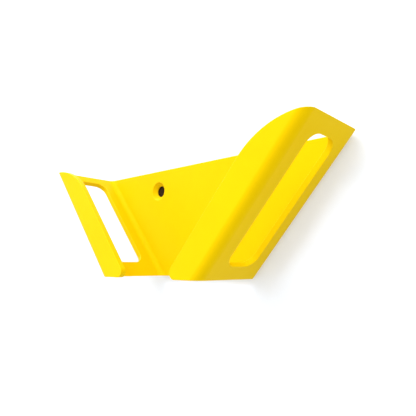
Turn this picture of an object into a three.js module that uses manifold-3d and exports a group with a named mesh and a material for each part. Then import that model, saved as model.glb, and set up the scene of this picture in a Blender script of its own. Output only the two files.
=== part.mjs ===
// Wall bracket with a wedge-shaped pocket, folded from one sheet of steel.
// Millimetres, +Z up. The bracket lies on its back plate: the back face is z = 0,
// the pocket opens towards +Y, where the plate is widest, and x = 0 is the plane of symmetry.
// The origin is the middle of the bounding box's bottom face.

import * as THREE from 'three';
import { mergeVertices } from 'three/addons/utils/BufferGeometryUtils.js';
import Module from 'manifold-3d';

const wasm = await Module();
wasm.setup();

// Driving dimensions
const sheet = 3;              // thickness of the sheet
const plateHeight = 62;       // from the narrow end to the wide end, along Y
const narrowWidth = 70;       // outside width at the narrow end
const wallLean = 40.5;        // degrees between each side wall and the Y axis, seen from the front
const depth = 42;             // back face to the front face of the lips
const bendInside = 3;         // inside radius of all four bends
const lipWidth = 16;          // outside of the wall to the free edge of its lip
const lipCrownRadius = 40;    // large sweep at the wide end of each lip
const lipFootRadius = 3;      // small corner at the narrow end of each lip
const slotLength = 66;        // end to end, along the wall
const slotWidth = 19.5;       // across the wall
const slotCorner = 6;         // radius of the slot's four corners
const screwSpacing = 72;      // between the two screw holes
const screwFromTop = 12;      // screw holes below the plate's wide edge
const screwHole = 6.5;        // clearance hole for a countersunk screw
const screwHead = 11;         // countersink diameter at the plate's front face

// Faceting
const bendSteps = 12;
const arcSteps = 24;
const holeSteps = 48;

const overrun = 2;            // how far cutters and raw stock pass beyond the finished faces

// Sizes that follow from the driving dimensions
const lean = THREE.MathUtils.degToRad(wallLean);
const bendOutside = bendInside + sheet;
const wallLength = plateHeight / Math.cos(lean);
const wideWidth = narrowWidth + 2 * plateHeight * Math.tan(lean);
const wideEnd = plateHeight / 2;
const narrowEnd = -plateHeight / 2;
const midDepth = depth / 2;

// x of the line that runs `inward` millimetres inside a wall's outer face, at height y
function besideWall(y, inward) {
  const outer = narrowWidth / 2 + (y - narrowEnd) * Math.tan(lean);
  return outer - inward / Math.cos(lean);
}

function toSolid(geometry) {
  const bare = geometry.index ? geometry.toNonIndexed() : geometry.clone();
  bare.deleteAttribute('normal');
  bare.deleteAttribute('uv');
  const merged = mergeVertices(bare, 1e-5);
  const mesh = new wasm.Mesh({
    numProp: 3,
    vertProperties: new Float32Array(merged.attributes.position.array),
    triVerts: new Uint32Array(merged.index.array),
  });
  return new wasm.Manifold(mesh);
}

function toGeometry(solid) {
  const mesh = solid.getMesh();
  const geometry = new THREE.BufferGeometry();
  geometry.setAttribute('position', new THREE.BufferAttribute(mesh.vertProperties, 3));
  geometry.setIndex(new THREE.BufferAttribute(mesh.triVerts, 1));
  geometry.computeVertexNormals();
  return geometry;
}

function extrude(shape, length, steps = arcSteps) {
  return new THREE.ExtrudeGeometry(shape, { depth: length, bevelEnabled: false, curveSegments: steps });
}

// A closed outline through corners { x, y, r }, with a tangent arc of radius r at each
function roundedOutline(corners) {
  const shape = new THREE.Shape();
  corners.forEach((corner, i) => {
    const here = new THREE.Vector2(corner.x, corner.y);
    const before = corners[(i + corners.length - 1) % corners.length];
    const after = corners[(i + 1) % corners.length];
    const toBefore = new THREE.Vector2(before.x, before.y).sub(here).normalize();
    const toAfter = new THREE.Vector2(after.x, after.y).sub(here).normalize();
    const halfAngle = Math.acos(toBefore.dot(toAfter)) / 2;
    const radius = corner.r ?? 0;
    const start = here.clone().addScaledVector(toBefore, radius / Math.tan(halfAngle));
    if (i === 0) shape.moveTo(start.x, start.y);
    else shape.lineTo(start.x, start.y);
    if (radius > 0) {
      const bisector = toBefore.clone().add(toAfter).normalize();
      const centre = here.clone().addScaledVector(bisector, radius / Math.sin(halfAngle));
      const end = here.clone().addScaledVector(toAfter, radius / Math.tan(halfAngle));
      const fromAngle = Math.atan2(start.y - centre.y, start.x - centre.x);
      const toAngle = Math.atan2(end.y - centre.y, end.x - centre.x);
      const clockwise = toBefore.cross(toAfter) > 0;
      shape.absarc(centre.x, centre.y, radius, fromAngle, toAngle, clockwise);
    }
  });
  shape.closePath();
  return shape;
}

// The flat back plate, held back from the folds so that the wings' own strips complete it
function backPlate() {
  const inset = bendOutside + overrun;
  const outline = new THREE.Shape([
    new THREE.Vector2(-besideWall(narrowEnd, inset), narrowEnd),
    new THREE.Vector2(besideWall(narrowEnd, inset), narrowEnd),
    new THREE.Vector2(besideWall(wideEnd, inset), wideEnd),
    new THREE.Vector2(-besideWall(wideEnd, inset), wideEnd),
  ]);
  return toSolid(extrude(outline, sheet));
}

// Section of one wing across its fold: strip of plate, bend, side wall, bend, lip.
// x runs inward from the wall's outer face and y up from the back face.
function wingSection() {
  const stripEnd = bendOutside + 2 * overrun;
  const lipEnd = lipWidth + overrun;
  const section = new THREE.Shape();
  section.moveTo(stripEnd, 0);
  section.lineTo(stripEnd, sheet);
  section.lineTo(bendOutside, sheet);
  section.absarc(bendOutside, bendOutside, bendInside, 1.5 * Math.PI, Math.PI, true);
  section.lineTo(sheet, depth - bendOutside);
  section.absarc(bendOutside, depth - bendOutside, bendInside, Math.PI, 0.5 * Math.PI, true);
  section.lineTo(lipEnd, depth - sheet);
  section.lineTo(lipEnd, depth);
  section.lineTo(bendOutside, depth);
  section.absarc(bendOutside, depth - bendOutside, bendOutside, 0.5 * Math.PI, Math.PI, false);
  section.lineTo(0, bendOutside);
  section.absarc(bendOutside, bendOutside, bendOutside, Math.PI, 1.5 * Math.PI, false);
  section.closePath();
  return section;
}

// Places a shape drawn in (inward, up) and extruded along the fold, centred on the wall's length
function alongFold(geometry, length) {
  const inward = new THREE.Vector3(-Math.cos(lean), Math.sin(lean), 0);
  const up = new THREE.Vector3(0, 0, 1);
  const alongWall = new THREE.Vector3().crossVectors(inward, up);
  const middle = new THREE.Vector3(besideWall(0, 0), 0, 0);
  const placed = new THREE.Matrix4().makeBasis(inward, up, alongWall);
  placed.setPosition(middle.addScaledVector(alongWall, -length / 2));
  return geometry.applyMatrix4(placed);
}

// Everything that lies inside the finished bracket's outline, seen from the front.
// Below mid depth only the two ends are trimmed; above it the lip gets its rounded corners.
function trimmingBlock() {
  const outside = wideWidth / 2 + overrun;
  const lower = new THREE.Shape([
    new THREE.Vector2(0, narrowEnd),
    new THREE.Vector2(outside, narrowEnd),
    new THREE.Vector2(outside, wideEnd),
    new THREE.Vector2(0, wideEnd),
  ]);
  const upper = roundedOutline([
    { x: outside, y: narrowEnd },
    { x: outside, y: wideEnd },
    { x: besideWall(wideEnd, lipWidth), y: wideEnd, r: lipCrownRadius },
    { x: besideWall(narrowEnd, lipWidth), y: narrowEnd, r: lipFootRadius },
  ]);
  const lowerBlock = extrude(lower, midDepth + overrun).translate(0, 0, -overrun);
  const upperBlock = extrude(upper, midDepth + overrun).translate(0, 0, midDepth);
  return toSolid(lowerBlock).add(toSolid(upperBlock));
}

// Long opening with rounded corners through the middle of a side wall
function slotCutter() {
  const halfLength = slotLength / 2;
  const halfWidth = slotWidth / 2;
  const outline = roundedOutline([
    { x: -halfLength, y: midDepth - halfWidth, r: slotCorner },
    { x: halfLength, y: midDepth - halfWidth, r: slotCorner },
    { x: halfLength, y: midDepth + halfWidth, r: slotCorner },
    { x: -halfLength, y: midDepth + halfWidth, r: slotCorner },
  ]);
  const cutter = extrude(outline, sheet + 2 * overrun);
  const alongWall = new THREE.Vector3(Math.sin(lean), Math.cos(lean), 0);
  const up = new THREE.Vector3(0, 0, 1);
  const outward = new THREE.Vector3().crossVectors(alongWall, up);
  const placed = new THREE.Matrix4().makeBasis(alongWall, up, outward);
  placed.setPosition(outward.clone().multiplyScalar(-(sheet + overrun)).add(
    new THREE.Vector3(besideWall(0, 0), 0, 0)));
  return toSolid(cutter.applyMatrix4(placed));
}

// One side of the bracket: side wall and lip, with the strip of plate they are folded from
function rightWing() {
  const stockLength = wallLength + 2 * (lipWidth + overrun);
  const stock = extrude(wingSection(), stockLength, bendSteps);
  return toSolid(alongFold(stock, stockLength)).intersect(trimmingBlock()).subtract(slotCutter());
}

// Countersunk hole through the plate at x, y
function screwCutter(x, y) {
  const hole = screwHole / 2;
  const head = screwHead / 2;
  const sinkStart = sheet - (head - hole);
  const profile = [
    new THREE.Vector2(0, -overrun),
    new THREE.Vector2(hole, -overrun),
    new THREE.Vector2(hole, sinkStart),
    new THREE.Vector2(head + overrun, sheet + overrun),
    new THREE.Vector2(0, sheet + overrun),
  ];
  const cutter = new THREE.LatheGeometry(profile, holeSteps);
  return toSolid(cutter.rotateX(Math.PI / 2).translate(x, y, 0));
}

function coatedYellow() {
  return new THREE.MeshStandardMaterial({ color: 0xf2c705, roughness: 0.42, metalness: 0 });
}

function foldedBracket() {
  const right = rightWing();
  const left = right.mirror([1, 0, 0]);
  const screwY = wideEnd - screwFromTop;
  const solid = backPlate()
    .add(right)
    .add(left)
    .subtract(screwCutter(-screwSpacing / 2, screwY))
    .subtract(screwCutter(screwSpacing / 2, screwY));
  const bracket = new THREE.Mesh(toGeometry(solid), coatedYellow());
  bracket.name = 'folded_bracket';
  return bracket;
}

const wedgeHolder = new THREE.Group();
wedgeHolder.add(foldedBracket());

export default wedgeHolder;
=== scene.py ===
# Yellow powder-coated wall bracket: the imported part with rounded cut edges, its coat, and a white studio.
import math

import bmesh
import bpy
from mathutils import Matrix, Quaternion, Vector


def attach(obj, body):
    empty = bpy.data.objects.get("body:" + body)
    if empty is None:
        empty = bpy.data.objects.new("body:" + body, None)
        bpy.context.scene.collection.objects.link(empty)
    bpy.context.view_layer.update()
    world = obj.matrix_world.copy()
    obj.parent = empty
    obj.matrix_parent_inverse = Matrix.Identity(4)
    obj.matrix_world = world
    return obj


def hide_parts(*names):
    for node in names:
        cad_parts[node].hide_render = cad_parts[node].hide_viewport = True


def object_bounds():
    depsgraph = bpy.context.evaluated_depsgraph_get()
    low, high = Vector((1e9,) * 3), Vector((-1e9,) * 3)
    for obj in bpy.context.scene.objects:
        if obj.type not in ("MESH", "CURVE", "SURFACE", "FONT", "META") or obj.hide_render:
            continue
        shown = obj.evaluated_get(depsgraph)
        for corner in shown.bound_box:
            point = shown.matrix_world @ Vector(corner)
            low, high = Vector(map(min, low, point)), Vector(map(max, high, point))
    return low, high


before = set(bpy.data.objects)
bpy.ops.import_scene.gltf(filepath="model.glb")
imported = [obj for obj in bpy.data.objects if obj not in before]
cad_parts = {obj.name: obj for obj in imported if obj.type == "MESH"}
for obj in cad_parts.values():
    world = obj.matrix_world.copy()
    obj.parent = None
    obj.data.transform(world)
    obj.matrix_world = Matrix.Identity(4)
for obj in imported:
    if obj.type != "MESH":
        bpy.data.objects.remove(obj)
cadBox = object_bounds()
mm = 0.001
print("frame loaded:", ", ".join(sorted(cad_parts)))


class Wire:
    # a node's output that can stand in ordinary arithmetic
    def __init__(self, finish, socket):
        self.finish = finish
        self.socket = socket

    def maths(self, operation, *values):
        return self.finish.node("ShaderNodeMath", {"operation": operation}, dict(enumerate(values)))

    def __add__(self, other):
        return self.maths("ADD", self, other)

    def __radd__(self, other):
        return self.maths("ADD", other, self)

    def __sub__(self, other):
        return self.maths("SUBTRACT", self, other)

    def __rsub__(self, other):
        return self.maths("SUBTRACT", other, self)

    def __mul__(self, other):
        return self.maths("MULTIPLY", self, other)

    def __rmul__(self, other):
        return self.maths("MULTIPLY", other, self)


class Finish:
    # one material and the nodes that make it
    def __init__(self, name):
        self.material = bpy.data.materials.new(name)
        self.material.use_nodes = True
        self.tree = self.material.node_tree
        self.tree.nodes.clear()

    def node(self, kind, settings=None, inputs=None, output=0):
        made = self.tree.nodes.new(kind)
        for key, value in (settings or {}).items():
            if key == "stops":
                self.setStops(made.color_ramp, value)
            else:
                setattr(made, key, value)
        for key, value in (inputs or {}).items():
            if isinstance(value, Wire):
                self.tree.links.new(value.socket, made.inputs[key])
            else:
                made.inputs[key].default_value = value
        return None if output is None else Wire(self, made.outputs[output])

    def setStops(self, ramp, stops):
        while len(ramp.elements) < len(stops):
            ramp.elements.new(0.5)
        for element, (position, level) in zip(ramp.elements, stops):
            element.position = position
            element.color = (level, level, level, 1)

    def noise(self, size, detail, roughness=0.5):
        # size is how wide one blob is, in metres
        where = self.node("ShaderNodeTexCoord", output="Object")
        return self.node("ShaderNodeTexNoise", None,
                         {"Vector": where, "Scale": 1 / size, "Detail": detail, "Roughness": roughness})

    def ramp(self, value, low, high):
        # 0 below low, 1 above high
        return self.node("ShaderNodeValToRGB", {"stops": [(low, 0.0), (high, 1.0)]}, {"Fac": value})

    def blend(self, mask, first, second):
        # two colours by a mask, either of them a tuple or a wire
        return self.node("ShaderNodeMix", {"data_type": "RGBA"}, {0: mask, 6: first, 7: second}, output=2)

    def finishWith(self, shader):
        self.node("ShaderNodeOutputMaterial", None, {"Surface": shader}, output=None)
        return self.material


bracket = {
    "node": "folded_bracket",
    "name": "coated_bracket",
    "coatRadius": 0.25 * mm,      # how round the coat makes each cut edge
    "coatRounds": 3,              # faces across that radius
    "weld": 0.002 * mm,           # points this close are one point
    "flatAngle": 0.6,             # degrees; flatter joins than this are merged
    "sliver": 0.30 * mm,          # shorter edges than this are merged away
    "snap": 0.05 * mm,            # a split passes through points this close to it
    "cutAngle": 22,               # degrees; sharper joins than this are cut edges
    "flatCosine": 0.99995,        # a face this close to a flat direction is flat
    "meetCosine": 0.80,           # a curved face follows a flat neighbour that is this close to it
    "wallLean": 40.5,             # degrees between a side wall and the Y axis
    "halfWidth": 61.477 * mm,     # centre to the outside of a side wall, half way up the plate
    "bend": 6 * mm,               # outside radius of the bends
    "tighter": 1.5 * mm,          # how much tighter the lips' bends are than the frame's
    "slack": 0.01 * mm,           # points this close to a bend's start stay put
    "screw": (36 * mm, 19 * mm),  # a screw hole's centre
    "splitHeights": (5.9 * mm, 22.3 * mm, 36.1 * mm),  # by the bends' starts, and through the slots
}


def splitFaces(mesh, point, normal):
    everything = mesh.verts[:] + mesh.edges[:] + mesh.faces[:]
    bmesh.ops.bisect_plane(mesh, geom=everything, dist=bracket["snap"], plane_co=point, plane_no=normal)


def tighterArc(angle, radius):
    # the same corner walked straight, round a smaller arc, and straight again
    straight = bracket["tighter"]
    inner = radius - straight
    arc = inner * math.pi / 2
    walked = angle / (math.pi / 2) * (2 * straight + arc)
    if walked < straight:
        return radius, walked
    if walked > straight + arc:
        return 2 * straight + arc - walked, radius
    turn = (walked - straight) / inner
    return straight + inner * math.cos(turn), straight + inner * math.sin(turn)


def tightenLipBends(mesh):
    # the points of each lip's bend slide in X and Z only, so that the cut ends stay flush
    lean = math.radians(bracket["wallLean"])
    bend = bracket["bend"]
    slack = bracket["slack"]
    startZ = cadBox[1].z - bend
    for vert in mesh.verts:
        outward = abs(vert.co.x) - bracket["halfWidth"]
        across = outward * math.cos(lean) - vert.co.y * math.sin(lean) + bend
        height = vert.co.z - startZ
        radius = math.hypot(across, height)
        if across < slack or height < slack or radius < bracket["tighter"]:
            continue
        newAcross, newHeight = tighterArc(math.atan2(height, across), radius)
        vert.co.x += math.copysign((newAcross - across) / math.cos(lean), vert.co.x)
        vert.co.z += newHeight - height


def splitAtBends(mesh):
    # large faces are split where a bend starts and through the holes, so that each piece stays simple
    for height in bracket["splitHeights"]:
        splitFaces(mesh, (0, 0, height), (0, 0, 1))
    lean = math.radians(bracket["wallLean"])
    bendX = bracket["halfWidth"] - bracket["bend"] / math.cos(lean)
    screwX, screwY = bracket["screw"]
    splitFaces(mesh, (0, screwY, 0), (0, 1, 0))
    for side in (-1, 1):
        splitFaces(mesh, (side * screwX, 0, 0), (1, 0, 0))
        splitFaces(mesh, (side * bendX, 0, 0), (side * math.cos(lean), -math.sin(lean), 0))


def flatDirections():
    lean = math.radians(bracket["wallLean"])
    across, along = math.cos(lean), math.sin(lean)
    found = [Vector((0, 0, 1)), Vector((0, 1, 0))]
    for side in (-1, 1):
        found.append(Vector((side * across, along, 0)))
        found.append(Vector((side * along, -across, 0)))
    return found


def facesAlong(face, way):
    return abs(face.normal.dot(way)) > bracket["flatCosine"]


def levelFlats(mesh):
    # the corners of each flat face are put exactly in its plane, or thin slivers of it shade dark
    for way in flatDirections():
        for face in mesh.faces:
            if facesAlong(face, way):
                level = sorted(vert.co.dot(way) for vert in face.verts)[len(face.verts) // 2]
                for vert in face.verts:
                    vert.co += way * (level - vert.co.dot(way))


def keepInBox(mesh):
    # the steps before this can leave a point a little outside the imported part's box
    low, high = cadBox
    for vert in mesh.verts:
        vert.co = Vector([min(max(value, least), most) for value, least, most in zip(vert.co, low, high)])


def evenNormals(mesh):
    # flat faces shade flat, and every curved face meets its flat neighbour in that one's direction
    flats = flatDirections()
    mesh.faces.index_update()
    isFlat = [any(facesAlong(face, way) for way in flats) for face in mesh.faces]
    normals = []
    for face in mesh.faces:
        for loop in face.loops:
            around = loop.vert.link_faces
            near = [other for other in around
                    if isFlat[other.index] and other.normal.dot(face.normal) > bracket["meetCosine"]]
            if isFlat[face.index]:
                normal = face.normal
            elif near:
                normal = max(near, key=lambda other: other.normal.dot(face.normal)).normal
            else:
                normal = sum((other.normal * other.calc_area() for other in around), Vector())
            normals.append(normal.normalized())
    return normals


def roundedCopy(node, name):
    mesh = bmesh.new()
    mesh.from_mesh(node.data)
    onEdge = mesh.faces.layers.float.new("cutEdge")
    bmesh.ops.remove_doubles(mesh, verts=mesh.verts, dist=bracket["weld"])
    bmesh.ops.dissolve_limit(mesh, angle_limit=math.radians(bracket["flatAngle"]),
                             verts=mesh.verts, edges=mesh.edges)
    bmesh.ops.remove_doubles(mesh, verts=mesh.verts, dist=bracket["sliver"])
    splitAtBends(mesh)
    tightenLipBends(mesh)
    cutAngle = math.radians(bracket["cutAngle"])
    cutEdges = [edge for edge in mesh.edges if edge.calc_face_angle(0) > cutAngle]
    rounded = bmesh.ops.bevel(mesh, geom=cutEdges, affect="EDGES", offset=bracket["coatRadius"],
                              offset_type="OFFSET", segments=bracket["coatRounds"], profile=0.5,
                              clamp_overlap=False, loop_slide=False)
    for face in rounded["faces"]:
        face[onEdge] = 1.0
    for face in mesh.faces:
        face.smooth = True
    levelFlats(mesh)
    keepInBox(mesh)
    mesh.normal_update()
    normals = evenNormals(mesh)
    made = bpy.data.meshes.new(name)
    mesh.to_mesh(made)
    mesh.free()
    made.normals_split_custom_set(normals)
    piece = bpy.data.objects.new(name, made)
    bpy.context.scene.collection.objects.link(piece)
    print("rounded copy:", len(made.vertices), "vertices,", len(rounded["faces"]), "faces on cut edges")
    return piece


coat = {
    "yellow": (0.785, 0.530, 0.001, 1),
    "deepYellow": (0.765, 0.505, 0.001, 1),
    "edgeHighlightYellow": (0.83, 0.60, 0.01, 1),
    "cloud": 38 * mm,             # slow drift of the colour
    "cloudDetail": 3.0,
    "cloudShare": 0.6,            # the rest of the drift is mottle
    "drift": (0.35, 0.65),        # where the drift starts and ends
    "mottle": 5 * mm,
    "mottleDetail": 4.0,
    "mottleBreakup": 0.6,
    "patch": (0.38, 0.62),        # where a patch on a cut edge starts and ends
    "edgeCover": 0.25,            # how much of the painted edge highlight shows on every cut edge
    "patchCover": 0.45,           # and how much more in a patch
    "peel": 1.3 * mm,             # orange peel
    "peelShare": 0.8,             # the rest of the bump is grain
    "grain": 0.35 * mm,
    "fineDetail": 1.0,            # for the peel and the grain
    "peelHeight": 0.010 * mm,
    "roughness": 0.42,
    "mottleRoughness": 0.10,
    "peelRoughness": 0.06,
    "edgeSmoothness": 0.06,       # cut edges are this much glossier
    "specular": 0.05,
    "shine": (1.0, 0.80, 0.10, 1),
}


def yellowPowderCoat():
    finish = Finish("yellowPowderCoat")
    cloud = finish.noise(coat["cloud"], coat["cloudDetail"])
    mottle = finish.noise(coat["mottle"], coat["mottleDetail"], coat["mottleBreakup"])
    peel = finish.noise(coat["peel"], coat["fineDetail"])
    grain = finish.noise(coat["grain"], coat["fineDetail"])
    clouded = coat["cloudShare"] * cloud + (1 - coat["cloudShare"]) * mottle
    colour = finish.blend(finish.ramp(clouded, *coat["drift"]), coat["yellow"], coat["deepYellow"])
    # cut edges get a lighter yellow, a painted highlight, stronger in random patches
    cutEdge = finish.node("ShaderNodeAttribute", {"attribute_name": "cutEdge"}, output="Fac")
    cover = coat["edgeCover"] + coat["patchCover"] * finish.ramp(mottle, *coat["patch"])
    colour = finish.blend(cutEdge * cover, colour, coat["edgeHighlightYellow"])
    roughness = (coat["roughness"] + coat["mottleRoughness"] * (mottle - 0.5)
                 + coat["peelRoughness"] * (peel - 0.5) - coat["edgeSmoothness"] * cutEdge)
    height = coat["peelShare"] * peel + (1 - coat["peelShare"]) * grain
    bump = finish.node("ShaderNodeBump", None,
                       {"Height": height, "Distance": coat["peelHeight"], "Strength": 1.0})
    shader = finish.node("ShaderNodeBsdfPrincipled", None, {
        "Base Color": colour,
        "Roughness": roughness,
        "Specular IOR Level": coat["specular"],
        "Specular Tint": coat["shine"],
        "Normal": bump,
    })
    return finish.finishWith(shader)


coatedBracket = roundedCopy(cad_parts[bracket["node"]], bracket["name"])
coatedBracket.data.materials.append(yellowPowderCoat())
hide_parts("folded_bracket")
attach(coatedBracket, "root")
print("bracket coated")


floor = {
    "half": 3.0,
    "paper": (0.565, 0.605, 0.67, 1),
    "paperShade": (0.55, 0.59, 0.655, 1),
    "glow": 0.33,                 # the paper is lit a little from beneath
    "fibre": 9 * mm,
    "fibreDetail": 4.0,
    "fibreHeight": 0.01 * mm,
    "fibreStrength": 0.3,
    "fibreRoughness": 0.05,
    "below": 0.02 * mm,           # keeps the paper clear of the plate's back
    "holeRadius": 4.2 * mm,       # painted shade: a dark disc on the paper behind the plate, seen down each screw hole
    "holeSides": 48,
    "shade": (0.020, 0.011, 0.004, 1),
    "darkerShade": (0.032, 0.018, 0.006, 1),
    "fleck": 2 * mm,
    "fleckDetail": 3.0,
    "fleckRoughness": 0.1,
    "mix": (0.4, 0.6),            # where one shade of paper or hole gives way to the other
    "roughness": 0.85,
    "specular": 0.1,
}


def palePaper():
    finish = Finish("palePaper")
    fibre = finish.noise(floor["fibre"], floor["fibreDetail"])
    colour = finish.blend(finish.ramp(fibre, *floor["mix"]), floor["paper"], floor["paperShade"])
    bump = finish.node("ShaderNodeBump", None, {
        "Height": fibre,
        "Distance": floor["fibreHeight"],
        "Strength": floor["fibreStrength"],
    })
    shader = finish.node("ShaderNodeBsdfPrincipled", None, {
        "Base Color": colour,
        "Roughness": floor["roughness"] + floor["fibreRoughness"] * (fibre - 0.5),
        "Specular IOR Level": floor["specular"],
        "Emission Color": (1, 1, 1, 1),
        "Emission Strength": floor["glow"],
        "Normal": bump,
    })
    return finish.finishWith(shader)


def holeShade():
    # painted shade for the discs under the screw holes, two near-black tones mixed in blotches
    finish = Finish("holeShade")
    fleck = finish.noise(floor["fleck"], floor["fleckDetail"])
    shader = finish.node("ShaderNodeBsdfPrincipled", None, {
        "Base Color": finish.blend(finish.ramp(fleck, *floor["mix"]), floor["shade"], floor["darkerShade"]),
        "Roughness": floor["roughness"] + floor["fleckRoughness"] * (fleck - 0.5),
        "Specular IOR Level": floor["specular"],
    })
    return finish.finishWith(shader)


def circleAt(mesh, x, y):
    radius = floor["holeRadius"]
    circle = []
    for step in range(floor["holeSides"]):
        angle = 2 * math.pi * step / floor["holeSides"]
        circle.append(mesh.verts.new((x + radius * math.cos(angle), y + radius * math.sin(angle), 0)))
    return circle


def makeFloor():
    # one sheet of paper, with a dark disc of painted shade only where a screw hole looks down on it
    mesh = bmesh.new()
    half = floor["half"]
    screwX, screwY = bracket["screw"]
    places = ((-half, -half), (half, -half), (half, half), (-half, half))
    corners = [mesh.verts.new((x, y, 0)) for x, y in places]
    for side in range(4):
        mesh.edges.new((corners[side], corners[(side + 1) % 4]))
    for x in (-screwX, screwX):
        mesh.faces.new(circleAt(mesh, x, screwY)).material_index = 1
    bmesh.ops.triangle_fill(mesh, edges=mesh.edges[:], use_beauty=True, use_dissolve=False,
                            normal=(0, 0, 1))
    made = bpy.data.meshes.new("studio_floor")
    mesh.to_mesh(made)
    mesh.free()
    piece = bpy.data.objects.new("studio_floor", made)
    piece.location.z = -floor["below"]
    made.materials.append(palePaper())
    made.materials.append(holeShade())
    bpy.context.scene.collection.objects.link(piece)


makeFloor()
print("floor laid")

light = {
    "target": Vector((0.0, 0.0, 0.02)),
    "distance": 1.5,
    "world": 0.74,                # strength of the white all round
    # each softbox: degrees round from +X, degrees up, degrees of half its width, watts
    "softboxes": {
        "high_top": (90, 60, 18, 5.4),
        "high_left": (180, 60, 18, 1.0),
        "right": (0, 38, 18, 2.2),
        "top_right": (45, 38, 18, 3.6),
        "top": (90, 38, 18, 8.2),
        "top_left": (135, 38, 18, 6.8),
        "left": (180, 38, 18, 1.3),
        "bottom_left": (225, 38, 18, 1.3),
        "low_right": (60, 14, 10, 1.6),
        "low_left": (120, 14, 10, 4.6),
    },
}


def softbox(name):
    around, above, halfAngle, power = light["softboxes"][name]
    turn, rise = math.radians(around), math.radians(above)
    direction = Vector((math.cos(rise) * math.cos(turn), math.cos(rise) * math.sin(turn), math.sin(rise)))
    lamp = bpy.data.lights.new(name, "AREA")
    lamp.shape = "DISK"
    lamp.size = 2 * light["distance"] * math.tan(math.radians(halfAngle))
    lamp.energy = power
    made = bpy.data.objects.new(name, lamp)
    made.location = light["target"] + direction * light["distance"]
    made.rotation_mode = "QUATERNION"
    made.rotation_quaternion = (-direction).to_track_quat("-Z", "Y")
    bpy.context.scene.collection.objects.link(made)


for name in light["softboxes"]:
    softbox(name)

world = bpy.data.worlds.new("white_studio")
world.use_nodes = True
world.node_tree.nodes["Background"].inputs["Color"].default_value = (1, 1, 1, 1)
world.node_tree.nodes["Background"].inputs["Strength"].default_value = light["world"]
bpy.context.scene.world = world

camera = {
    "from": Vector((158.97, -23.52, 170.53)) * mm,
    "aim": Vector((20.27, 2.54, 20.0)) * mm,
    "roll": -0.35,                # degrees
    "lens": 37.28,
    "sensor": 36.0,
    "nearest": 0.01,
    "farthest": 50,
}


def makeCamera():
    lens = bpy.data.cameras.new("studio_camera")
    lens.sensor_width = camera["sensor"]
    lens.lens = camera["lens"]
    lens.clip_start = camera["nearest"]
    lens.clip_end = camera["farthest"]
    made = bpy.data.objects.new("studio_camera", lens)
    back = (camera["from"] - camera["aim"]).normalized()
    right = Vector((0, 1, 0)).cross(back).normalized()
    up = back.cross(right)
    made.rotation_mode = "QUATERNION"
    upright = Matrix((right, up, back)).transposed().to_quaternion()
    made.rotation_quaternion = upright @ Quaternion((0, 0, 1), math.radians(-camera["roll"]))
    made.location = camera["from"]
    bpy.context.scene.collection.objects.link(made)
    bpy.context.scene.camera = made


makeCamera()
bpy.context.scene.view_settings.view_transform = "Standard"
print("lights and camera set")

bpy.context.view_layer.update()
